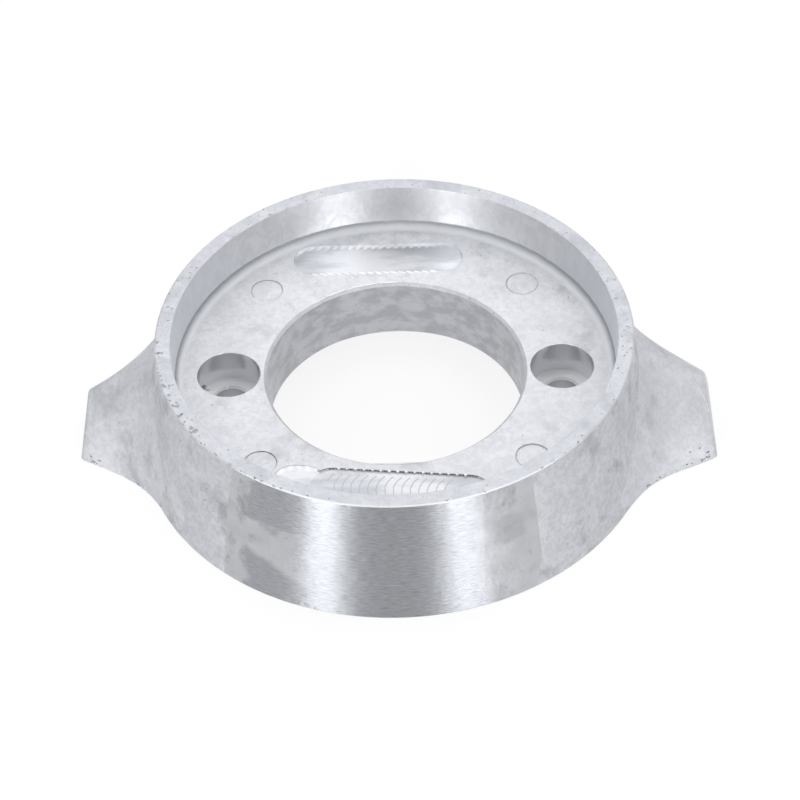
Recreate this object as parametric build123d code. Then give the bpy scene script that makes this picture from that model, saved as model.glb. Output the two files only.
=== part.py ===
from build123d import *
from math import cos, radians, sin, tan
import os

# Sacrificial collar anode for the gearcase of a stern drive.
# One casting: a cup-shaped ring round the propeller shaft, with two streamlined fins.
# The origin is on the shaft axis at the mounting face. X runs through the two screw holes, Z points aft.

# Ring
height = 36.0              # mounting face to rim
rim_radius = 65.0          # outer radius at the rim
base_radius = 71.3         # outer radius at the mounting face
rim_width = 4.2            # flat top of the rim
hub_recess_depth = 14.3    # rim down to the recess floor
recess_draft = 1.5         # slope of the recess wall, degrees
floor_fillet = 2.5         # between the recess wall and its floor
edge_break = 0.3           # outer edges of the rim and of the mounting face

# Shaft bore, and the shallow register step round its lower end
bore_radius = 35.45
bore_chamfer = 0.8
register_depth = 3.7
register_width = 3.6

# Screw holes beside the bore, sunk for the screw heads
screw_spacing = 91.7
screw_hole_radius = 4.85
screw_head_radius = 8.75
screw_head_depth = 9.5     # recess floor down to the seat of the head
seat_break = 0.5           # edge of the seat at the screw hole

# Fins: half widths at the mounting face and crest heights as shares of the ring's height,
# one value for each station. Stations are shares of the way from inside the ring out to past the fin's end
fin_root = 17.3            # ring's foot in to the first station
fin_overrun = 3.8          # fin's end out to the last station
stations = (0.0, 0.158, 0.368, 0.579, 0.789, 1.0)
skeg_half_widths = (43.0, 38.3, 24.5, 17.0, 12.1, 8.0)
skeg_crests = (0.96, 0.95, 0.79, 0.625, 0.485, 0.37)
strut_half_widths = (43.0, 38.0, 26.8, 21.1, 17.4, 13.4)
strut_crests = (0.94, 0.92, 0.76, 0.605, 0.455, 0.31)
# Arch of the section at the first and the last station: lean of the flank and fullness of the crest
# as shares of the half width, and between them the turn as a share of the height
skeg_arch = ((0.02, 0.44, 0.80), (0.30, 0.16, 0.15))
strut_arch = ((0.02, 0.41, 0.63), (0.13, 0.29, 0.23))
fin_reach = 88.2           # from the shaft axis to the foot of the end face
fin_end_draft = 10.5       # the end face leans in towards its top, degrees
fin_edge_round = 1.6       # round of the end face's edge

# Two shallow reliefs milled in the recess floor, as rows of overlapping plunges of one cutter.
# A row is the centres of its first and last plunge
cutter_radius = 6.2
plunge_step = 2.25
relief_depth = 0.6
relief_rows = (
    ((-22.6, 46.7), (13.4, 46.7)),
    ((-17.1, -42.9), (18.7, -46.7)),
    ((-27.0, -41.6), (-24.8, -41.8)),
)

# Round marks that the ejector pins left in the floor
pin_mark_radius = 4.5
pin_mark_circle = 49.9     # radius of the circle they lie on
pin_mark_angle = 43.4      # from the line through the screw holes, degrees
pin_mark_depth = 0.2

# Levels and radii that follow from the sizes above
floor_level = height - hub_recess_depth
seat_level = floor_level - screw_head_depth
recess_radius = rim_radius - rim_width
floor_radius = recess_radius - hub_recess_depth * tan(radians(recess_draft))
register_radius = bore_radius + register_width
above = 2 * height         # past the rim, for cuts that run out


def half_section(distance, half_width, crest, lean, turn, fullness):
    # an arched cross-section of the fin, from its foot up to the crest on the middle plane
    foot = (half_width, 0)
    flank = (half_width * (1 - lean), crest * turn)
    shoulder = (half_width * fullness, crest)
    with BuildSketch(Plane((distance, 0, 0), x_dir=(0, 1, 0), z_dir=(1, 0, 0))) as section:
        with BuildLine():
            Bezier(foot, flank, shoulder, (0, crest))
            Polyline((0, crest), (0, 0), foot)
        make_face()
    return section.sketch.faces()[0]


def make_fin(half_widths, crests, arch):
    # one half is lofted outwards, its end is cut off and the edge there rounded; the other half mirrors it
    first, last = base_radius - fin_root, fin_reach + fin_overrun
    sections = []
    for share, half_width, crest in zip(stations, half_widths, crests):
        shape = [root + (tip - root) * share for root, tip in zip(*arch)]
        sections.append(half_section(first + (last - first) * share, half_width, crest * height, *shape))
    end_plane = Plane((fin_reach, 0, 0), x_dir=(0, 1, 0), z_dir=(1, 0, tan(radians(fin_end_draft))))
    half = split(loft(sections), end_plane, keep=Keep.BOTTOM)
    end_face = half.faces().sort_by(Axis.X)[-1]
    half = fillet(end_face.edges().sort_by(SortBy.LENGTH)[-1], fin_edge_round)
    return half + mirror(half, Plane.XZ)


# Outer form: a drafted ring turned about the shaft axis, with a fin towards the strut and one towards the skeg
with BuildPart() as ring:
    with BuildSketch(Plane.XZ):
        with BuildLine():
            Polyline((0, 0), (base_radius, 0), (rim_radius, height), (0, height), close=True)
        make_face()
    revolve(axis=Axis.Z)
    chamfer(ring.edges().filter_by(GeomType.CIRCLE), edge_break)
casting = ring.part + make_fin(strut_half_widths, strut_crests, strut_arch)
casting += make_fin(skeg_half_widths, skeg_crests, skeg_arch).rotate(Axis.Z, 180)

# Hub recess, bore and register step are one turned hollow
with BuildPart() as hollow:
    with BuildSketch(Plane.XZ) as profile:
        with BuildLine():
            Polyline(
                (0, -height),
                (register_radius, -height),
                (register_radius, register_depth),
                (bore_radius, register_depth),
                (bore_radius, floor_level - bore_chamfer),
                (bore_radius + bore_chamfer, floor_level),
                (floor_radius, floor_level),
                (recess_radius, height),
                (recess_radius, above),
                (0, above),
                close=True,
            )
        make_face()
        fillet(profile.vertices().sort_by_distance((floor_radius, floor_level, 0))[0], floor_fillet)
    revolve(axis=Axis.Z)
casting -= hollow.part

# Screw holes with flat seats
with BuildPart() as screw_cut:
    with BuildSketch(Plane.XZ) as profile:
        with BuildLine():
            Polyline(
                (0, -height),
                (screw_hole_radius, -height),
                (screw_hole_radius, seat_level),
                (screw_head_radius, seat_level),
                (screw_head_radius, above),
                (0, above),
                close=True,
            )
        make_face()
        chamfer(profile.vertices().sort_by_distance((screw_hole_radius, seat_level, 0))[0], seat_break)
    revolve(axis=Axis.Z)
casting -= [Pos(x, 0, 0) * screw_cut.part for x in (-screw_spacing / 2, screw_spacing / 2)]

# Milled reliefs: a flat bottom with a scalloped outline
plunge = Cylinder(cutter_radius, relief_depth + floor_fillet, align=(Align.CENTER, Align.CENTER, Align.MIN))
relief_level = floor_level - relief_depth
for ends in relief_rows:
    row = Line(*ends)
    steps = round(row.length / plunge_step)
    casting -= [Pos(*(row @ (i / steps))) * Pos(0, 0, relief_level) * plunge for i in range(steps + 1)]

# Ejector pin marks
pin_mark = Cylinder(pin_mark_radius, 2 * pin_mark_depth)
for side in (0, 180):
    for angle in (side - pin_mark_angle, side + pin_mark_angle):
        place = Vector(cos(radians(angle)), sin(radians(angle))) * pin_mark_circle
        casting -= Pos(place.X, place.Y, floor_level) * pin_mark

os.makedirs("parts", exist_ok=True)
export_step(casting, "parts/collar_anode.step")
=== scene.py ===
from math import atan2, cos, degrees, hypot, pi, radians, sin, sqrt
from random import Random

import bpy
from mathutils import Matrix, Vector, noise


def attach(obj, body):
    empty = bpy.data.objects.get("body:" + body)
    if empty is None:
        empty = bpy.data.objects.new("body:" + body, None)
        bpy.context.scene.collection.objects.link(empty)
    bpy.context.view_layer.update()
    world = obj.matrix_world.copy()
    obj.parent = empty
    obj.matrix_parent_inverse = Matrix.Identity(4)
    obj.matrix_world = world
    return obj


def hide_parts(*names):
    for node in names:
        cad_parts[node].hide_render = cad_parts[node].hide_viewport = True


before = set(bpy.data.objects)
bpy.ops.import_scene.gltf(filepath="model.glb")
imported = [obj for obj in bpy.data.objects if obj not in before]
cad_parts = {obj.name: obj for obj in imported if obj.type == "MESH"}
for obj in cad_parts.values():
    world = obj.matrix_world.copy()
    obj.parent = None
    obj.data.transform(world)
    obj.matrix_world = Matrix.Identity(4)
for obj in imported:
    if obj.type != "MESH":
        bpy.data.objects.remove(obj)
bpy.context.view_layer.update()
bpy.ops.object.select_all(action="DESELECT")


# Casting: the ring and its two fins are one piece, die cast in an aluminium anode alloy and left bare.
# The skin is smooth, pale and matt, with soft flow marks, stains and pinholes.
MM = 0.001
EDGE_ROUND = 0.25 * MM          # radius to which its edges look rounded
WELD = 0.002 * MM               # the CAD mesh's loose triangles are merged within this distance


def pick(obj):
    # makes obj the one selected and active object
    bpy.ops.object.select_all(action="DESELECT")
    obj.select_set(True)
    bpy.context.view_layer.objects.active = obj


def rgb(text):
    # an sRGB hex value as a linear colour
    parts = [int(text[i : i + 2], 16) / 255 for i in (0, 2, 4)]
    return [p / 12.92 if p <= 0.04045 else ((p + 0.055) / 1.055) ** 2.4 for p in parts] + [1.0]


def add(tree, kind, settings={}, links={}):
    # adds one node, with settings for its properties and sockets and links into them; returns its main output
    made = tree.nodes.new("ShaderNode" + kind)
    for key, value in settings.items():
        if isinstance(key, int) or key in made.inputs:
            made.inputs[key].default_value = value
        else:
            setattr(made, key, value)
    for key, source in links.items():
        tree.links.new(source, made.inputs[key])
    return made.outputs[2 if settings.get("data_type") == "RGBA" else 0]


def metal(name, roughness, colour=None, anisotropic=0.0):
    # bare metal: returns it, its tree, its shader's sockets, object coordinates and a normal with round edges
    material = bpy.data.materials.new(name)
    material.use_nodes = True
    tree = material.node_tree
    shader = tree.nodes["Principled BSDF"].inputs
    shader["Metallic"].default_value = 1.0
    shader["Roughness"].default_value = roughness
    if colour:
        shader["Base Color"].default_value = rgb(colour)
    if anisotropic:
        # fine marks run round the shaft axis and draw highlights out along it
        shader["Anisotropic"].default_value = anisotropic
        shader["Anisotropic Rotation"].default_value = 0.25
        tree.links.new(add(tree, "Tangent", {"direction_type": "RADIAL", "axis": "Z"}), shader["Tangent"])
    place = add(tree, "TexCoord").node.outputs["Object"]
    rounded = add(tree, "Bevel", {"samples": 4, "Radius": EDGE_ROUND})
    return material, tree, shader, place, rounded


def cast_metal(name, roughness, pale, deep, soiled, holed):
    # die-cast skin: flow marks 9 mm across, stains of 15 mm and smears of 1.6 mm tint it, and pinholes of 1.1
    # mm are painted on as dark spots of shade
    material, tree, shader, place, rounded = metal(name, roughness)
    look = {"Scale": 1000 / 9, "Detail": 5, "Roughness": 0.6, "Distortion": 0.8}
    flow = add(tree, "TexNoise", look, {"Vector": place})
    share = add(tree, "MapRange", {"From Min": 0.32, "From Max": 0.68}, {"Value": flow})
    tint = add(tree, "Mix", {"data_type": "RGBA", 6: rgb(deep), 7: rgb(pale)}, {0: share})
    look = {"Scale": 1000 / 1.6, "Detail": 6, "Roughness": 0.7, "Distortion": 0.6}
    smear = add(tree, "TexNoise", look, {"Vector": place})
    stain = add(tree, "TexNoise", {"Scale": 1000 / 15, "Detail": 7, "Roughness": 0.68}, {"Vector": place})
    for pattern, low, high, most in ((stain, 0.54, 0.66, 0.7), (smear, 0.56, 0.42, 0.28)):
        share = add(tree, "MapRange", {"From Min": low, "From Max": high, "To Max": most}, {"Value": pattern})
        tint = add(tree, "Mix", {"data_type": "RGBA", 7: rgb(soiled)}, {0: share, 6: tint})
    pinhole_shade = add(tree, "TexNoise", {"Scale": 1000 / 1.1, "Detail": 1}, {"Vector": place})
    share = add(tree, "MapRange", {"From Min": holed, "From Max": holed + 0.05}, {"Value": pinhole_shade})
    tint = add(tree, "Mix", {"data_type": "RGBA", 7: rgb("9A9CA1")}, {0: share, 6: tint})
    tree.links.new(tint, shader["Base Color"])
    # it swells over 4 mm, is scuffed by the smears and has an orange peel of 0.8 mm
    swell = add(tree, "TexNoise", {"Scale": 1000 / 4, "Detail": 3}, {"Vector": place})
    peel = add(tree, "TexNoise", {"Scale": 1000 / 0.8, "Detail": 3}, {"Vector": place})
    bump = rounded
    for pattern, height in ((swell, 0.07), (smear, 0.055), (peel, 0.026)):
        bump = add(tree, "Bump", {"Distance": height * MM}, {"Height": pattern, "Normal": bump})
    tree.links.new(bump, shader["Normal"])
    return material


# one skin in four tones: the floor is painted palest and is most even, against the shade the recess walls cast
# on it, and the rim and fins are painted darker against the strip lights. The outer wall, where the turning
# tool did not reach, is painted darker still for the dim paper it reflects, and it is the most stained
cast_skin = cast_metal("die_cast_skin", 0.68, "E2E3E6", "D8D9DC", "BEC0C4", 0.77)
rim_skin = cast_metal("rim_skin", 0.66, "D6D7DC", "CACBD0", "B4B6BB", 0.71)
fin_skin = cast_metal("fin_skin", 0.62, "D4D5D9", "C7C9CD", "ADAFB4", 0.75)
wall_skin = cast_metal("wall_skin", 0.62, "CFD0D4", "C0C2C6", "9A9CA1", 0.75)

casting = bpy.data.objects.new("anode_casting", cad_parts["collar_anode"].data.copy())
bpy.context.scene.collection.objects.link(casting)
pick(casting)
bpy.ops.object.mode_set(mode="EDIT")
bpy.ops.mesh.select_all(action="SELECT")
bpy.ops.mesh.remove_doubles(threshold=WELD)
bpy.ops.object.mode_set(mode="OBJECT")
bpy.ops.mesh.customdata_custom_splitnormals_clear()


# Outer wall: turned after casting, which leaves a bright satin metal with long highlights. The cut runs out on
# both sides, where the duller cast skin is left, and a tongue of skin crosses its left end.
WALL_MID = 68.0                 # mean radius of the wall, mm
FEED, STREAK = 0.32, 2.6        # feed marks are drawn this far apart and this long, mm, so that they show
WANDER = 0.22                   # how far the borders stray, radians
RISE_WANDER = 16.0              # and how far up and down for each radian of that, mm
# bearings in degrees between which a share goes from 0 to 1
LEFT_END, RIGHT_END = (-126.5, -124.5), (-65.5, -73.5)
BLOB_END, TONGUE_END = (-59.0, -62.0), (-109.0, -119.0)
# heights in mm: a patch that the tool just touched, and the tongue, whose lower edge falls with the bearing
BLOB_HEIGHTS, BLOB_SHARE = ((17.5, 19.0), (27.5, 26.0)), 0.4
TONGUE_TOP, TONGUE_SOFT = (23.9, 22.7), 1.1
TONGUE_FALL, TONGUE_LOW, TONGUE_AT = 0.47, 13.3, 124.3


def unroll(tree, place, radius):
    # lays a round wall flat: returns the axes, the bearing, the height in mm and a flat map of the wall in mm
    axes = add(tree, "SeparateXYZ", links={0: place}).node.outputs
    angle = add(tree, "Math", {"operation": "ARCTAN2"}, {0: axes["Y"], 1: axes["X"]})
    round_mm = add(tree, "Math", {"operation": "MULTIPLY", 1: radius}, {0: angle})
    up_mm = add(tree, "Math", {"operation": "MULTIPLY", 1: 1000.0}, {0: axes["Z"]})
    return axes, angle, up_mm, add(tree, "CombineXYZ", links={0: round_mm, 1: up_mm})


turned_wall, tree, shader, place, rounded = metal("turned_wall", 0.34, anisotropic=0.97)
axes, angle, up_mm, flat = unroll(tree, place, WALL_MID)
wander = add(tree, "TexNoise", {"Scale": 1000 / 7, "Detail": 4}, {"Vector": place})
drift = add(tree, "Math", {"operation": "MULTIPLY_ADD", 1: WANDER, 2: -WANDER / 2}, {0: wander})
strayed = add(tree, "Math", {"operation": "ADD"}, {0: angle, 1: drift})
rise = add(tree, "Math", {"operation": "MULTIPLY_ADD", 1: RISE_WANDER}, {0: drift, 2: up_mm})
# the right end strays less, so that it stays beside the bright band there
steadier = add(tree, "Math", {"operation": "MULTIPLY_ADD", 1: 0.4}, {0: drift, 2: angle})
left_end, blob_end, tongue_end, right_end = [
    add(tree, "MapRange", {"From Min": radians(low), "From Max": radians(high)}, {"Value": bearing})
    for (low, high), bearing in (
        (LEFT_END, strayed),
        (BLOB_END, strayed),
        (TONGUE_END, strayed),
        (RIGHT_END, steadier),
    )
]
over, under, high_side = [
    add(tree, "MapRange", {"From Min": low, "From Max": high}, {"Value": rise})
    for low, high in (*BLOB_HEIGHTS, TONGUE_TOP)
]
blob = add(tree, "Math", {"operation": "MULTIPLY"}, {0: over, 1: under})
blob = add(tree, "Math", {"operation": "MULTIPLY"}, {0: blob, 1: blob_end})
blob = add(tree, "Math", {"operation": "MULTIPLY", 1: BLOB_SHARE}, {0: blob})
cut = add(tree, "Math", {"operation": "MAXIMUM"}, {0: blob, 1: right_end})
cut = add(tree, "Math", {"operation": "MULTIPLY"}, {0: left_end, 1: cut})
fall = {"operation": "MULTIPLY_ADD", 1: degrees(TONGUE_FALL), 2: TONGUE_FALL * TONGUE_AT - TONGUE_LOW}
edge = add(tree, "Math", fall, {0: angle})
edge = add(tree, "Math", {"operation": "ADD"}, {0: edge, 1: rise})
low_side = add(tree, "MapRange", {"From Min": -TONGUE_SOFT, "From Max": TONGUE_SOFT}, {"Value": edge})
tongue = add(tree, "Math", {"operation": "MULTIPLY"}, {0: low_side, 1: high_side})
tongue = add(tree, "Math", {"operation": "MULTIPLY"}, {0: tongue, 1: tongue_end})
outside = add(tree, "Math", {"operation": "SUBTRACT", 0: 1.0}, {1: tongue})
cut = add(tree, "Math", {"operation": "MULTIPLY"}, {0: cut, 1: outside})
# cut metal is streaked by the feed marks, and painted a dark grey, far below bare metal, which darkens its
# reflections into the dark band between the two bright ones
marks = add(tree, "Mapping", {"Scale": (1 / STREAK, 1 / FEED, 1)}, {"Vector": flat})
feed = add(tree, "TexNoise", {"Scale": 1.0, "Detail": 3, "Roughness": 0.6}, {"Vector": marks})
share = add(tree, "MapRange", {"From Min": 0.3, "From Max": 0.7}, {"Value": feed})
bare_painted_dark = add(tree, "Mix", {"data_type": "RGBA", 6: rgb("96989D"), 7: rgb("B9BBC0")}, {0: share})
# the skin is clouded over 7 mm and stained over 11 mm, and painted darker beside the fins, as the shade in the
# crease where they meet the wall
share = add(tree, "MapRange", {"From Min": 0.32, "From Max": 0.68}, {"Value": wander})
skin = add(tree, "Mix", {"data_type": "RGBA", 6: rgb("CDCFD3"), 7: rgb("DADBDF")}, {0: share})
look = {"Scale": 1000 / 11, "Detail": 8, "Roughness": 0.72, "Distortion": 0.4}
soil = add(tree, "TexNoise", look, {"Vector": place})
share = add(tree, "MapRange", {"From Min": 0.53, "From Max": 0.66, "To Max": 0.75}, {"Value": soil})
skin = add(tree, "Mix", {"data_type": "RGBA", 7: rgb("A4A6AB")}, {0: share, 6: skin})
painted_shade_side = add(tree, "Math", {"operation": "ADD", 1: radians(90)}, {0: strayed})
painted_shade_side = add(tree, "Math", {"operation": "ABSOLUTE"}, {0: painted_shade_side})
look = {"From Min": radians(52), "From Max": radians(74), "To Max": 0.65}
share = add(tree, "MapRange", look, {"Value": painted_shade_side})
skin = add(tree, "Mix", {"data_type": "RGBA", 7: rgb("A6A8AD")}, {0: share, 6: skin})
tint = add(tree, "Mix", {"data_type": "RGBA"}, {0: cut, 6: skin, 7: bare_painted_dark})
tree.links.new(tint, shader["Base Color"])
gloss = add(tree, "MapRange", {"To Min": 0.48, "To Max": 0.34}, {"Value": cut})
tree.links.new(gloss, shader["Roughness"])
peel = add(tree, "TexNoise", {"Scale": 1000 / 1.2, "Detail": 4}, {"Vector": place})
grain = add(tree, "Mix", {"data_type": "FLOAT"}, {0: cut, 2: peel, 3: feed})
bump = add(tree, "Bump", {"Distance": 0.09 * MM}, {"Height": wander, "Normal": rounded})
bump = add(tree, "Bump", {"Distance": 0.045 * MM}, {"Height": grain, "Normal": bump})
tree.links.new(bump, shader["Normal"])


# Fillet at the foot of the recess wall: dull skin that the core left. Where the wall starts, shade is painted
# on it as a soft dark line with a wavering edge.
FLOOR_Z = 21.7 * MM
SHADE_LINE_HEIGHTS = ((0.8, 2.1), (3.1, 2.5))     # over the floor, mm: where the line comes up and where it fades
SHADE_LINE_WAVER = 0.9 * MM
fillet_skin, tree, shader, place, rounded = metal("fillet_skin", 0.7)
axes = add(tree, "SeparateXYZ", links={0: place}).node.outputs
mottle = add(tree, "TexNoise", {"Scale": 1000 / 3, "Detail": 6, "Roughness": 0.65}, {"Vector": place})
rise = add(tree, "Math", {"operation": "MULTIPLY_ADD", 1: SHADE_LINE_WAVER}, {0: mottle, 2: axes["Z"]})
coming, fading = [
    add(tree, "MapRange", {"From Min": FLOOR_Z + low * MM, "From Max": FLOOR_Z + high * MM}, {"Value": rise})
    for low, high in SHADE_LINE_HEIGHTS
]
# painted shade: a dark line in the corner between wall and floor
line = add(tree, "Math", {"operation": "MULTIPLY"}, {0: coming, 1: fading})
tint = add(tree, "Mix", {"data_type": "RGBA", 6: rgb("CED0D4"), 7: rgb("E2E3E6")}, {0: mottle})
tint = add(tree, "Mix", {"data_type": "RGBA", 7: rgb("A8AAAF")}, {0: line, 6: tint})
tree.links.new(tint, shader["Base Color"])
bump = add(tree, "Bump", {"Distance": 0.05 * MM}, {"Height": mottle, "Normal": rounded})
tree.links.new(bump, shader["Normal"])


# Wall of the hub recess: left by the core and rubbed where the casting was drawn off it, so it is half bright.
# The drag marks are 3.5 mm apart and 6 mm long, and the wall is painted darker towards the fins, as shade.
CORE_MID = 55.0                 # radius on which the marks are laid out, mm
core_wall, tree, shader, place, rounded = metal("core_drawn_wall", 0.42, anisotropic=0.75)
axes, _, _, flat = unroll(tree, place, CORE_MID)
marks = add(tree, "Mapping", {"Scale": (1 / 3.5, 1 / 6, 1)}, {"Vector": flat})
look = {"Scale": 1.0, "Detail": 5, "Roughness": 0.62, "Distortion": 0.6}
drag = add(tree, "TexNoise", look, {"Vector": marks})
rub = add(tree, "MapRange", {"From Min": 0.4, "From Max": 0.6}, {"Value": drag})
tint = add(tree, "Mix", {"data_type": "RGBA", 6: rgb("DCDDE0"), 7: rgb("ECEDEF")}, {0: rub})
painted_shade_side = add(tree, "Math", {"operation": "ABSOLUTE"}, {0: axes["X"]})
share = add(tree, "MapRange", {"From Min": 30 * MM, "From Max": 58 * MM}, {"Value": painted_shade_side})
tint = add(tree, "Mix", {"data_type": "RGBA", 7: rgb("D2D3D7")}, {0: share, 6: tint})
tree.links.new(tint, shader["Base Color"])
gloss = add(tree, "MapRange", {"To Min": 0.52, "To Max": 0.4}, {"Value": rub})
tree.links.new(gloss, shader["Roughness"])
swell = add(tree, "TexNoise", {"Scale": 1000 / 3, "Detail": 4}, {"Vector": place})
bump = add(tree, "Bump", {"Distance": 0.08 * MM}, {"Height": swell, "Normal": rounded})
bump = add(tree, "Bump", {"Distance": 0.03 * MM}, {"Height": drag, "Normal": bump})
tree.links.new(bump, shader["Normal"])


# Shaft bore: cored as well, and left darker and duller than the recess. Tide marks 6 mm long and 4 mm high
# give it a mottled grey.
BORE_R = 35.45 * MM
bore_wall, tree, shader, place, rounded = metal("bore_wall", 0.42, anisotropic=0.5)
flat = unroll(tree, place, BORE_R / MM)[-1]
marks = add(tree, "Mapping", {"Scale": (1 / 6, 1 / 4, 1)}, {"Vector": flat})
tide = add(tree, "TexNoise", {"Scale": 1.0, "Detail": 6, "Roughness": 0.65}, {"Vector": marks})
share = add(tree, "MapRange", {"From Min": 0.43, "From Max": 0.57}, {"Value": tide})
tint = add(tree, "Mix", {"data_type": "RGBA", 6: rgb("ACAEB3"), 7: rgb("BFC1C5")}, {0: share})
tree.links.new(tint, shader["Base Color"])
swell = add(tree, "TexNoise", {"Scale": 1000 / 3, "Detail": 4}, {"Vector": place})
bump = add(tree, "Bump", {"Distance": 0.06 * MM}, {"Height": swell, "Normal": rounded})
bump = add(tree, "Bump", {"Distance": 0.02 * MM}, {"Height": tide, "Normal": bump})
tree.links.new(bump, shader["Normal"])


# Screw holes: drilled through, with a sunk recess for each head. The recess wall is smooth and mirrors its
# surroundings, with rings from the drill that are drawn 0.7 mm apart so that they show. The seat was faced,
# and is pale and dull.
SCREW_X, SEAT_Z = 45.85 * MM, 12.2 * MM
drilled, tree, shader, place, rounded = metal("drilled_bore", 0.22, "E2E3E6")
axes = add(tree, "SeparateXYZ", links={0: place}).node.outputs
rings = add(tree, "CombineXYZ", links={2: axes["Z"]})
rings = add(tree, "TexNoise", {"Scale": 1000 / 0.7, "Detail": 2}, {"Vector": rings})
swell = add(tree, "TexNoise", {"Scale": 1000 / 2.5, "Detail": 3}, {"Vector": place})
bump = add(tree, "Bump", {"Distance": 0.09 * MM}, {"Height": swell, "Normal": rounded})
bump = add(tree, "Bump", {"Distance": 0.01 * MM}, {"Height": rings, "Normal": bump})
tree.links.new(bump, shader["Normal"])


def cut_metal(name, roughness, colour, grain, detail, height, smooth=True):
    # metal that a tool cut, with a grain and its height in mm; its edges are rounded where it is smooth
    material, tree, shader, place, rounded = metal(name, roughness, colour)
    pattern = add(tree, "TexNoise", {"Scale": 1000 / grain, "Detail": detail}, {"Vector": place})
    links = {"Height": pattern, "Normal": rounded} if smooth else {"Height": pattern}
    tree.links.new(add(tree, "Bump", {"Distance": height * MM}, links), shader["Normal"])
    return material


# chatter of the cutter shows on the seat, and the hole below it is as the drill left it
faced_seat = cut_metal("faced_seat", 0.8, "F6F7F8", 0.9, 3, 0.04)
hole_wall = cut_metal("screw_hole_wall", 0.5, "D0D1D5", 1.5, 3, 0.05)


# Reliefs: two slots milled in the recess floor by plunging one cutter again and again, brighter than the skin.
# The cutter leaned and its corner was worn, so each plunge left an arc across the slot and a slope at its
# rear side.
CUTTER_R, STEP = 6.2 * MM, 2.25 * MM
# centres of the first and the last plunge of each row
BACK_SLOT = ((-22.6 * MM, 46.7 * MM, 0), (13.4 * MM, 46.7 * MM, 0))
FRONT_SLOT = ((-17.1 * MM, -42.9 * MM, 0), (18.7 * MM, -46.7 * MM, 0))
SIDE_SLOT = ((-27.0 * MM, -41.6 * MM, 0), (-24.8 * MM, -41.8 * MM, 0))
# in mm: a row's depth, the drop from one plunge to the next, and the depth that is left at its rear side
BACK_CUT, FRONT_CUT, SIDE_CUT = (0.62, 0.07, 0.06), (0.62, 0.22, 0.52), (0.5, 0.08, 0.05)
CELL, MARGIN, REACH = 0.22 * MM, 0.2 * MM, 0.25 * MM    # of the grid, round the plunges, and past each of them
SHEET, UNDER_FLOOR = 0.3 * MM, 0.4                      # the bed's thickness, and how deep its margin lies, mm
LEAN_SHARE, LEAN_CURVE = 0.3, 1.2                       # share of the depth lost by the lean, and its curve
ARC_BASE, ARC_FADE = 2.72, 2.2                          # a drop fades by this factor over so many steps
SLOPE, SLOPE_WAVE = 1.25, 0.4                           # width of the slope, and how much it changes, mm
SHALLOW, STEEP = 0.16, 0.9                              # the faces of a step tilt between these
NO_STEPS = 0.1                                          # rows that drop less than this show no rough steps

# the bed's colour carries a painted sheen, lighter and darker over 15 mm and slanted as the cutter was, and
# the bed has scuffs of 1.2 mm
milled, tree, shader, place, rounded = metal("milled_relief", 0.42)
look = {"Scale": (1000 / 15, 1000 / 4.5, 1000 / 4.5), "Rotation": (0, 0, radians(-12))}
slant = add(tree, "Mapping", look, {"Vector": place})
painted_sheen = add(tree, "TexNoise", {"Scale": 1.0, "Detail": 3}, {"Vector": slant})
share = add(tree, "MapRange", {"From Min": 0.4, "From Max": 0.62}, {"Value": painted_sheen})
tint = add(tree, "Mix", {"data_type": "RGBA", 6: rgb("D4D5D9"), 7: rgb("B6B8BD")}, {0: share})
tree.links.new(tint, shader["Base Color"])
scuff = add(tree, "TexNoise", {"Scale": 1000 / 1.2, "Detail": 3}, {"Vector": place})
bump = add(tree, "Bump", {"Distance": 0.02 * MM}, {"Height": scuff, "Normal": rounded})
tree.links.new(bump, shader["Normal"])

# a fresh edge is bright, a step between two plunges is rough and grey, and the front slot's far wall is
# painted dark, as the shade in that gap
bright_cut = cut_metal("bright_cut_edge", 0.52, "E2E3E6", 1.5, 3, 0.05)
tool_step = cut_metal("tool_step", 0.55, "B0B2B7", 0.5, 2, 0.03, smooth=False)
painted_shade_wall = cut_metal("painted_shade_cut", 0.6, "6F7176", 0.5, 2, 0.05, smooth=False)


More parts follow.
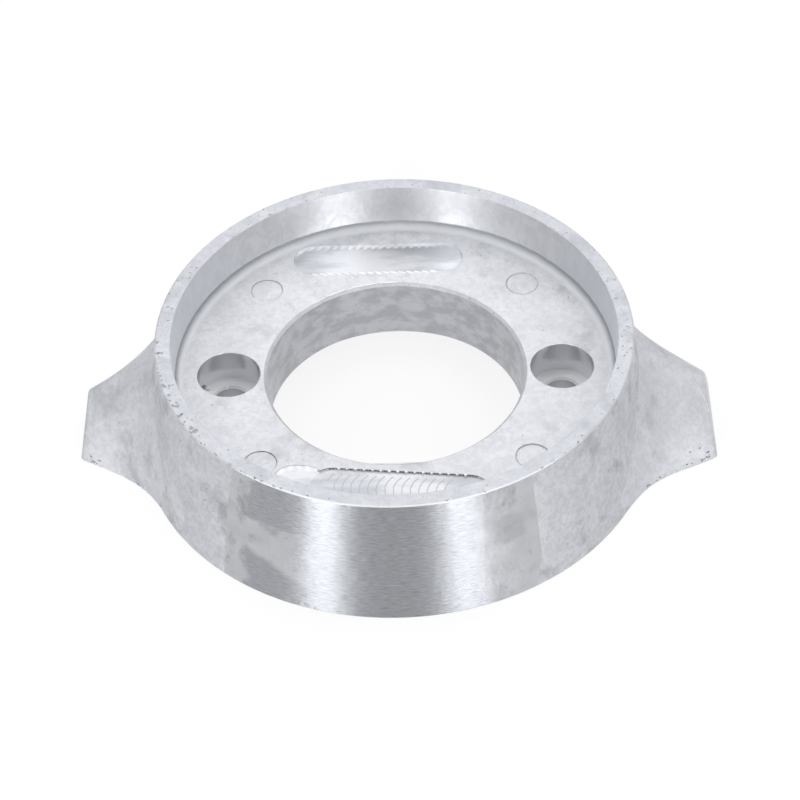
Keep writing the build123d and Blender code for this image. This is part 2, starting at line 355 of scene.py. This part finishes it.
def relief_bed(name, rows, side):
    # a sheet of metal laid in a slot, as a grid that each plunge of each row presses down
    low = [min(end[k] for row in rows for end in row[:2]) - CUTTER_R - MARGIN for k in (0, 1)]
    high = [max(end[k] for row in rows for end in row[:2]) + CUTTER_R + MARGIN for k in (0, 1)]
    size = [high[k] - low[k] for k in (0, 1)]
    cells = [int(length / CELL) for length in size]
    bpy.ops.mesh.primitive_grid_add(x_subdivisions=cells[0], y_subdivisions=cells[1], size=1)
    bed = bpy.context.object
    bed.name = name
    bed.data.materials.append(milled)
    sloped = set()
    for vertex in bed.data.vertices:
        place = Vector((low[0] + (vertex.co.x + 0.5) * size[0], low[1] + (vertex.co.y + 0.5) * size[1], 0))
        depths = []
        for start, end, full, drop, rear in rows:
            row = Vector(end) - Vector(start)
            along = (place - Vector(start)).dot(row) / row.length
            left = (row / row.length).cross(place - Vector(start)).z
            across = left * side
            past = max(0.0, -along, along - row.length)
            if hypot(past, across) < CUTTER_R + REACH:
                # how far behind the front arc of the last plunge that reached here
                last = round(row.length / STEP)
                ahead = along + sqrt(max(0.0, CUTTER_R**2 - across**2))
                behind = ahead - STEP * min(ahead // STEP, last)
                lean = max(0.0, (CUTTER_R - across) / (2 * CUTTER_R)) ** LEAN_CURVE
                dropped = drop * (1 - ARC_BASE ** (-behind / (ARC_FADE * STEP)))
                depth = full - LEAN_SHARE * full * lean - dropped
                # how far in from the rear side, where the nearest plunge left a slope
                off = along - STEP * min(max(round(along / STEP), 0), last)
                edge = sqrt(max(0.0, CUTTER_R**2 - off**2)) - left
                width = (SLOPE + SLOPE_WAVE * sin(2 * pi * along / STEP)) * MM
                slope = min(1.0, max(0.0, edge / width))
                depths.append(rear + (depth - rear) * slope)
                if slope < 1 or drop < NO_STEPS:
                    sloped.add(vertex.index)
        place.z = FLOOR_Z - max(depths, default=UNDER_FLOOR) * MM
        vertex.co = place
    pick(bed)
    solid = bed.modifiers.new("solid", "SOLIDIFY")
    solid.thickness, solid.offset = SHEET, -1
    bpy.ops.object.modifier_apply(modifier="solid")
    bpy.ops.object.shade_smooth_by_angle(angle=radians(40))
    # the small steps between plunges are rough
    bed.data.materials.append(tool_step)
    for face in bed.data.polygons:
        tilt = hypot(face.normal.x, face.normal.y)
        if SHALLOW < tilt < STEEP and face.normal.z > 0 and not sloped.intersection(face.vertices):
            face.material_index = 1
    return bed


def bead(name, points, radius, finish):
    # a thin raised line of metal along points, thinner at its ends
    curve = bpy.data.curves.new(name, "CURVE")
    curve.dimensions, curve.bevel_depth, curve.bevel_resolution, curve.use_fill_caps = "3D", radius, 1, True
    line = curve.splines.new("POLY")
    line.points.add(len(points) - 1)
    for i, (point, place) in enumerate(zip(line.points, points)):
        point.co = (*place, 1)
        point.radius = 0.35 + 0.65 * sin(pi * (i + 0.5) / len(points))
    made = bpy.data.objects.new(name, curve)
    bpy.context.scene.collection.objects.link(made)
    pick(made)
    bpy.ops.object.convert(target="MESH")
    made = bpy.context.object
    made.data.materials.append(finish)
    return made


def plunges(start, end, side):
    # all plunges of a row but the last: number, centre, and the directions along the row and towards the side
    row = Vector(end) - Vector(start)
    along = row.normalized()
    across = Vector((-along.y, along.x, 0)) * side
    for i in range(round(row.length / STEP)):
        yield i, Vector(start) + along * STEP * i + Vector((0, 0, FLOOR_Z)), along, across


beds = [relief_bed("back_bed", [(*BACK_SLOT, *BACK_CUT)], -1)]
beds.append(relief_bed("front_bed", [(*FRONT_SLOT, *FRONT_CUT), (*SIDE_SLOT, *SIDE_CUT)], 1))
# burrs: in the rear slot each plunge pushed up a slanted lip on the bore's side
LIP, LIP_SLANT, LIP_SET = 0.3, 0.13, 0.25       # radius, slant at each point and how far it is set in, mm
LIP_START, LIP_STEP = -9, 3.6                   # along the plunge's circle, degrees
chance = Random(4)
for i, centre, along, across in plunges(*BACK_SLOT, -1):
    lip = []
    for k in range(6):
        forward = along * (CUTTER_R * sin(radians(LIP_START + LIP_STEP * k)))
        lip.append(centre + forward + across * (CUTTER_R + (LIP_SLANT * k - LIP_SET) * MM))
    beds.append(bead(f"back_burr_lip_{i}", lip, LIP * chance.uniform(0.7, 1.2) * MM, faced_seat))
# in the front slot a pale rib stands on the wall painted with shade, between each two plunges
RIB, RIB_FOOT, RIB_TOP, RIB_SET = 0.42, -0.65 * MM, 0.02 * MM, 0.12 * MM
chance = Random(4)
for i, centre, along, across in plunges(*FRONT_SLOT, 1):
    cusp = centre + along * STEP / 2 + across * (CUTTER_R - RIB_SET)
    rib = [cusp + Vector((0, 0, RIB_FOOT)), cusp + Vector((0, 0, RIB_TOP))]
    beds.append(bead(f"front_burr_rib_{i}", rib, RIB * chance.uniform(0.8, 1.3) * MM, faced_seat))


# Ejector pin marks: four pins pushed the casting off its core, and the fine gap round each pin head printed a
# groove in the floor. The pins on the right were worn more, so their grooves are wider.
PIN_R, PIN_CIRCLE, PIN_ANGLE, PIN_DEPTH = 4.5 * MM, 49.9 * MM, 43.4, 0.2 * MM
PIN_X, PIN_Y = PIN_CIRCLE * cos(radians(PIN_ANGLE)), PIN_CIRCLE * sin(radians(PIN_ANGLE))
GROOVE_LEFT, GROOVE_RIGHT = 0.17 * MM, 0.24 * MM        # half widths
cutters = []
for x in (-PIN_X, PIN_X):
    for y in (-PIN_Y, PIN_Y):
        bpy.ops.mesh.primitive_torus_add(
            major_segments=72,
            minor_segments=6,
            major_radius=PIN_R,
            minor_radius=GROOVE_LEFT if x < 0 else GROOVE_RIGHT,
            location=(x, y, FLOOR_Z - PIN_DEPTH),
        )
        bpy.context.object.data.materials.append(cast_skin)
        cutters.append(bpy.context.object)


# Pits and chips: gas holes in the skin, knocks along the rim and ragged feet of the fins, where flash was
# broken off. Inside them the metal is dull and a darker grey.
HEIGHT = 36.0 * MM
# along the rim: first and last bearing, how many, inner and outer radius, smallest and largest size, mm
RIM_WEAR = (
    (-20, 24, 20, 61.8, 64.4, 0.16, 0.34),
    (-180, -142, 40, 62.8, 65.1, 0.2, 0.5),
    (-142, -112, 18, 64.2, 65.1, 0.22, 0.42),
    (-95, -25, 12, 64.5, 65.1, 0.16, 0.34),
    (150, 184, 12, 61.3, 64.8, 0.16, 0.34),
    (20, 150, 14, 60.9, 61.4, 0.14, 0.3),
)
# in the floor: bearing and radius
FLOOR_PITS = ((105, 52), (62, 53), (35, 55), (-38, 43), (-150, 55))
# along the fins' feet: from x, y to x, y in mm, and how many
FIN_FEET = (
    (66, -27, 85.8, -14.2, 17),
    (-64.5, -28, -85.5, -10.6, 17),
    (83, -16, 86, -13, 5),
    (-82, -12.3, -86, -10, 6),
)
# on the fins and the wall: x, y, z and size in mm
BRUISES = (
    (85.4, -15.5, 2.2, 0.5),
    (83.1, -15.6, 4.0, 0.3),
    (80.3, -17.2, 4.1, 0.3),
    (-85.2, -10.0, 1.4, 0.4),
    (-82.6, -11.6, 1.2, 0.35),
    (-80.7, 1.8, 18.8, 0.35),
    (-56, -33, 30, 0.3),
    (-49, -44, 23.3, 0.35),
    (-50.5, -45, 19.4, 0.4),
)
pit_skin = metal("pit_skin", 0.75, "B8BABE")[0]
chance = Random(11)


def pit(place, size):
    # a ragged flat ball, size in mm, that will be cut out of the casting
    bpy.ops.mesh.primitive_ico_sphere_add(subdivisions=2, radius=size * MM, location=place)
    made = bpy.context.object
    made.scale = (chance.uniform(0.7, 1.6), chance.uniform(0.7, 1.6), chance.uniform(0.4, 0.8))
    made.rotation_euler = (0, 0, chance.uniform(0, pi))
    for vertex in made.data.vertices:
        vertex.co *= 1 + 0.6 * noise.noise(vertex.co * (1200 / size) + Vector(place) * 2000)
    bpy.ops.object.transform_apply(location=False)
    made.data.materials.append(pit_skin)
    cutters.append(made)


for first, last, count, inner, outer, low, high in RIM_WEAR:
    for i in range(count):
        a, r = radians(chance.uniform(first, last)), chance.uniform(inner, outer) * MM
        pit((r * cos(a), r * sin(a), HEIGHT + 0.04 * MM), chance.uniform(low, high))
for bearing, r in FLOOR_PITS:
    a = radians(bearing)
    pit((r * MM * cos(a), r * MM * sin(a), FLOOR_Z), chance.uniform(0.12, 0.2))
for x0, y0, x1, y1, count in FIN_FEET:
    for i in range(count):
        t = chance.random()
        guess = Vector((x0 + (x1 - x0) * t, y0 + (y1 - y0) * t - 2, chance.uniform(0.1, 1.6))) * MM
        pit(casting.closest_point_on_mesh(guess)[1], chance.uniform(0.2, 0.45))
for x, y, z, size in BRUISES:
    pit(casting.closest_point_on_mesh(Vector((x, y, z)) * MM)[1], size)


# Finished casting: each face shows how it was made, so it takes the finish of the place where it lies. Then
# the grooves and pits are cut out of it, and each of them keeps its own.
RIM_R, BASE_R, RECESS_R = 65.0 * MM, 71.3 * MM, 60.8 * MM
RIM_EDGE_Z = 35.65 * MM                         # the rim's top and its broken edges lie above this
ON_WALL, NEAR_WALL = 0.03 * MM, 0.4 * MM        # so near to it, corners are on the outer wall and fins start
TURNED = (-130, -58)                            # bearings that the turning tool reached
FILLET_IN, FILLET_TOP = 57.6 * MM, FLOOR_Z + 3.2 * MM
CHAMFER, HEAD_R = 0.85 * MM, 9 * MM             # the bore's upper edge, and a screw recess
RELIEF_LOW, RELIEF_HIGH, RELIEF_END = FLOOR_Z - 0.65 * MM, FLOOR_Z - 0.22 * MM, 36 * MM
SHADE_WALL_X = -18 * MM                               # the front slot's wall is painted with shade to the right of this


def wall_radius(z):
    # radius of the outer wall at a height
    return BASE_R + (RIM_R - BASE_R) * z / HEIGHT


def finish_of(face):
    # by its place, and by its level, which is 1 for a flat face and 0 for an upright one
    x, y, z = face.center
    level, r, from_screw = abs(face.normal.z), hypot(x, y), hypot(abs(x) - SCREW_X, y)
    corners = [casting.data.vertices[i].co for i in face.vertices]
    if level < 0.4 and max(abs(hypot(p.x, p.y) - wall_radius(p.z)) for p in corners) < ON_WALL:
        bearings = [degrees(atan2(p.y, p.x)) for p in corners]
        middle = (min(bearings) + max(bearings)) / 2
        return turned_wall if TURNED[0] < middle < TURNED[1] else wall_skin
    if abs(r - RECESS_R) < 0.6 * MM and z > FILLET_TOP and level < 0.2:
        return core_wall
    if FILLET_IN < r < RECESS_R and FLOOR_Z + 0.03 * MM < z < FILLET_TOP:
        return fillet_skin
    if r > RIM_R - 0.5 * MM and z > RIM_EDGE_Z and 0.3 < level < 0.95 and y < -50 * MM:
        return bright_cut
    if r < BORE_R + CHAMFER and z > FLOOR_Z - CHAMFER:
        return rim_skin
    if r < BORE_R + 0.1 * MM and level < 0.1:
        return bore_wall
    if from_screw < HEAD_R and (abs(z - SEAT_Z) < 0.01 * MM or 0.3 < level < 0.9):
        return faced_seat
    if from_screw < HEAD_R and level < 0.1:
        return drilled if z > SEAT_Z else hole_wall
    if RELIEF_LOW < z < RELIEF_HIGH and abs(x) < RELIEF_END:
        if level >= 0.1:
            return milled
        # the front slot's wall on the bore's side is painted dark, as shade
        return painted_shade_wall if y < 0 and face.normal.y < -0.9 and x > SHADE_WALL_X else bright_cut
    if r > wall_radius(z) - NEAR_WALL and z < RIM_EDGE_Z:
        return fin_skin
    return rim_skin if z > RIM_EDGE_Z else cast_skin


def join(target, parts):
    # makes parts one object with target
    bpy.ops.object.select_all(action="DESELECT")
    for part in parts:
        part.select_set(True)
    target.select_set(True)
    bpy.context.view_layer.objects.active = target
    bpy.ops.object.join()


finishes = [cast_skin, rim_skin, fin_skin, wall_skin, turned_wall, fillet_skin, core_wall, bore_wall]
finishes += [drilled, hole_wall, faced_seat, bright_cut, milled, painted_shade_wall, pit_skin]
casting.data.materials.clear()
for finish in finishes:
    casting.data.materials.append(finish)
for face in casting.data.polygons:
    face.material_index = finishes.index(finish_of(face))

cutter = cutters[0]
join(cutter, cutters[1:])
pick(casting)
groove = casting.modifiers.new("cut", "BOOLEAN")
groove.object, groove.operation, groove.solver = cutter, "DIFFERENCE", "EXACT"
groove.use_self, groove.material_mode = True, "TRANSFER"
bpy.ops.object.modifier_apply(modifier="cut")
bpy.data.objects.remove(cutter)
bpy.ops.object.shade_smooth_by_angle(angle=radians(28))


# Flash and witness lines: crumbs of metal in the left screw recess and at the foot of the fins and the wall,
# the die's parting line and a nick on the thicker fin, a scratch on the turned wall, and burrs along the seats
# and the bore. All are part of the casting.
CRUMBS = (                      # name, x, y, z and size in mm, and finish
    ("crumb_seat", -52.3, 4.4, 12.7, 0.55, faced_seat),
    ("crumb_hole", -47.2, 4.7, 12.0, 0.45, faced_seat),
    ("flash_left", -69.6, -22.0, 0.66, 0.42, fin_skin),
    ("flash_left_out", -77.3, -15.5, 0.6, 0.36, fin_skin),
    ("flash_right", 74.2, -21.6, 0.68, 0.44, fin_skin),
    ("flash_right_in", 72.5, -22.6, 0.62, 0.4, fin_skin),
)
# at the foot of the wall: bearing and height
FOOT_FLASH = ((-111.5, 1.0), (-110.4, 1.2), (-109.6, 0.9), (-107.9, 0.7), (-103.2, 0.8))
# corners of the parting line and ends of the nick, x, y and z in mm
PARTING = (
    (76.8, -0.7, 21.2),
    (80.8, 0.6, 18.55),
    (82.0, -2.6, 17.1),
    (84.1, -4.7, 14.4),
    (85.7, -6.9, 11.5),
    (86.6, -9.6, 7.9),
)
NICK = ((71.8, -16.6, 13.6), (74.0, -14.2, 15.6))
# first bearing and sweep in degrees, and height in mm
SCRATCH_FROM, SCRATCH_SWEEP, SCRATCH_Z = -95.6, 8, 10.9
# lips round a screw hole: radius in mm, first bearing and step; lips round the bore: how far out, and bearings
SEAT_LIP_R, SEAT_LIP_FROM, SEAT_LIP_STEP = 5.3, 15, 6.25
BORE_LIP_OUT, BORE_LIPS = 0.78, ((88, 97), (98, 112), (113, 121), (123, 131))


def crumb(name, place, size, finish):
    # a ragged lump of metal, size in mm
    bpy.ops.mesh.primitive_ico_sphere_add(subdivisions=3, radius=size * MM, location=place)
    made = bpy.context.object
    made.name = name
    for vertex in made.data.vertices:
        vertex.co *= 1 + 0.7 * noise.noise(vertex.co * (900 / size) + Vector(place) * 3000)
    bpy.ops.object.transform_apply()
    bpy.ops.object.shade_smooth_by_angle(angle=radians(60))
    made.data.materials.append(finish)
    return made


def laid(start, end, steps, count):
    # points on the casting's surface along a straight run, which is cut in steps
    run = [Vector(start).lerp(Vector(end), i / steps) * MM for i in range(count)]
    return [casting.closest_point_on_mesh(guess)[1] for guess in run]


details = []
for name, x, y, z, size, finish in CRUMBS:
    details.append(crumb(name, (x * MM, y * MM, z * MM), size, finish))
for i, (bearing, z) in enumerate(FOOT_FLASH):
    a, r = radians(bearing), BASE_R - 0.2 * MM
    details.append(crumb(f"flash_foot_{i}", (r * cos(a), r * sin(a), z * MM), 0.3, fin_skin))
line = [point for start, end in zip(PARTING, PARTING[1:]) for point in laid(start, end, 6, 6)]
details.append(bead("parting_line", line, 0.13 * MM, rim_skin))
details.append(bead("nick_lip", laid(*NICK, 8, 9), 0.12 * MM, rim_skin))
scratch = []
for i in range(12):
    a, z = radians(SCRATCH_FROM + SCRATCH_SWEEP * i / 11), (SCRATCH_Z + 0.05 * sin(i)) * MM
    scratch.append((wall_radius(z) * cos(a), wall_radius(z) * sin(a), z))
details.append(bead("scratch_lip", scratch, 0.06 * MM, milled))
for side, x in (("left", -SCREW_X), ("right", SCREW_X)):
    lip = []
    for k in range(25):
        a, r = radians(SEAT_LIP_FROM + SEAT_LIP_STEP * k), (SEAT_LIP_R + 0.04 * sin(1.7 * k)) * MM
        lip.append((x + r * cos(a), r * sin(a), SEAT_Z + 0.04 * MM))
    details.append(bead("seat_lip_" + side, lip, 0.16 * MM, faced_seat))
for i, (first, last) in enumerate(BORE_LIPS):
    lip = []
    for k in range(9):
        a, r = radians(first + (last - first) * k / 8), BORE_R + (BORE_LIP_OUT + 0.06 * sin(2.3 * k + i)) * MM
        lip.append((r * cos(a), r * sin(a), FLOOR_Z + 0.03 * MM))
    details.append(bead(f"bore_lip_{i}", lip, 0.2 * MM, faced_seat))
join(casting, beds + details)

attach(casting, "root")
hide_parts("collar_anode")


# Studio: white paper on the table, two strip lights in front, which give the wall its bright bands, and a pale
# tent round them. To the camera and in reflections the paper shines a little by itself, so that it is white.
PAPER_SHINE = 0.8
STRIP_SIZE, STRIP_POWER = (0.34, 0.84), 11.0                # metres and watts
STRIP_AWAY, STRIP_HEIGHT, STRIP_AIM = 1.5, 0.42, 0.02       # metres: both are aimed this high over the paper
bpy.ops.mesh.primitive_circle_add(vertices=96, radius=3.0, fill_type="NGON", location=(0, 0, -0.2 * MM))
floor = bpy.context.object
floor.name = "floor"
paper = bpy.data.materials.new("white_paper")
paper.use_nodes = True
tree = paper.node_tree
surface = tree.nodes["Principled BSDF"]
surface.inputs["Base Color"].default_value = rgb("F4F4F5")
surface.inputs["Roughness"].default_value = 0.9
surface.inputs["Specular IOR Level"].default_value = 0.0
ray = add(tree, "LightPath").node.outputs
seen = add(tree, "Math", {"operation": "MAXIMUM"}, {0: ray["Is Camera Ray"], 1: ray["Is Glossy Ray"]})
seen = add(tree, "Math", {"operation": "MAXIMUM"}, {0: seen, 1: ray["Is Transmission Ray"]})
share = add(tree, "Math", {"operation": "MULTIPLY", 1: PAPER_SHINE}, {0: seen})
white = add(tree, "Emission", {"Strength": 1.0})
mixed = add(tree, "MixShader", links={0: share, 1: surface.outputs[0], 2: white})
tree.links.new(mixed, tree.nodes["Material Output"].inputs["Surface"])
floor.data.materials.append(paper)

for side, bearing in (("left", -119.5), ("right", -65.0)):
    a = radians(bearing)
    light = bpy.data.lights.new("strip_" + side, "AREA")
    light.shape, light.energy = "RECTANGLE", STRIP_POWER
    light.size, light.size_y = STRIP_SIZE
    lamp = bpy.data.objects.new("strip_" + side, light)
    bpy.context.scene.collection.objects.link(lamp)
    lamp.location = (STRIP_AWAY * cos(a), STRIP_AWAY * sin(a), STRIP_HEIGHT)
    lamp.rotation_euler = (Vector((0, 0, STRIP_AIM)) - lamp.location).to_track_quat("-Z", "Y").to_euler()

# the tent is brightest above, dark in the gap where the camera stands, and dimmer in front and on the left
world = bpy.data.worlds.new("tent")
bpy.context.scene.world = world
world.use_nodes = True
sky = world.node_tree
direction = add(sky, "TexCoord").node.outputs["Generated"]
axes = add(sky, "SeparateXYZ", links={0: direction}).node.outputs
ahead = add(sky, "Math", {"operation": "MULTIPLY", 1: -1.0}, {0: axes["Y"]})
bearing = add(sky, "Math", {"operation": "ARCTAN2"}, {0: axes["X"], 1: ahead})
bearing = add(sky, "Math", {"operation": "ABSOLUTE"}, {0: bearing})
strength = add(sky, "MapRange", {"To Min": 0.42, "To Max": 1.92}, {"Value": axes["Z"]})
for source, blend, low, high, least, most in (
    (bearing, "SMOOTHSTEP", radians(20), radians(42), 0.2, 1.0),
    (axes["Y"], "LINEAR", -0.7, 0.2, 0.5, 1.0),
    (axes["X"], "LINEAR", -0.8, 0.8, 0.92, 1.07),
):
    look = {"interpolation_type": blend, "From Min": low, "From Max": high, "To Min": least, "To Max": most}
    share = add(sky, "MapRange", look, {"Value": source})
    strength = add(sky, "Math", {"operation": "MULTIPLY"}, {0: strength, 1: share})
sky.links.new(strength, sky.nodes["Background"].inputs["Strength"])
sky.nodes["Background"].inputs["Color"].default_value = (0.99, 0.993, 1.0, 1)


# Camera: a long lens, fitted to the ellipses of the rim, the bore and the screw recesses in the photograph.
# It looks down at the front of the part, between the two strip lights.
LENS, SENSOR, DISTANCE = 121.38, 36.0, 758.77               # mm
AIM = Vector((0.83, 6.67, 3.7))
camera = bpy.data.cameras.new("camera")
camera.lens, camera.sensor_width = LENS, SENSOR
eye = bpy.data.objects.new("camera", camera)
bpy.context.scene.collection.objects.link(eye)
azimuth, elevation, roll = radians(1.06), radians(44.37), radians(-2.26)
back = Vector((sin(azimuth) * cos(elevation), -cos(azimuth) * cos(elevation), sin(elevation)))
right = Vector((cos(azimuth), sin(azimuth), 0))
up = back.cross(right)
right, up = right * cos(roll) + up * sin(roll), up * cos(roll) - right * sin(roll)
facing = Matrix((right, up, back)).transposed().to_4x4()
eye.matrix_world = Matrix.Translation(AIM * MM + back * DISTANCE * MM) @ facing
bpy.context.scene.camera = eye
bpy.context.scene.view_settings.view_transform = "Standard"
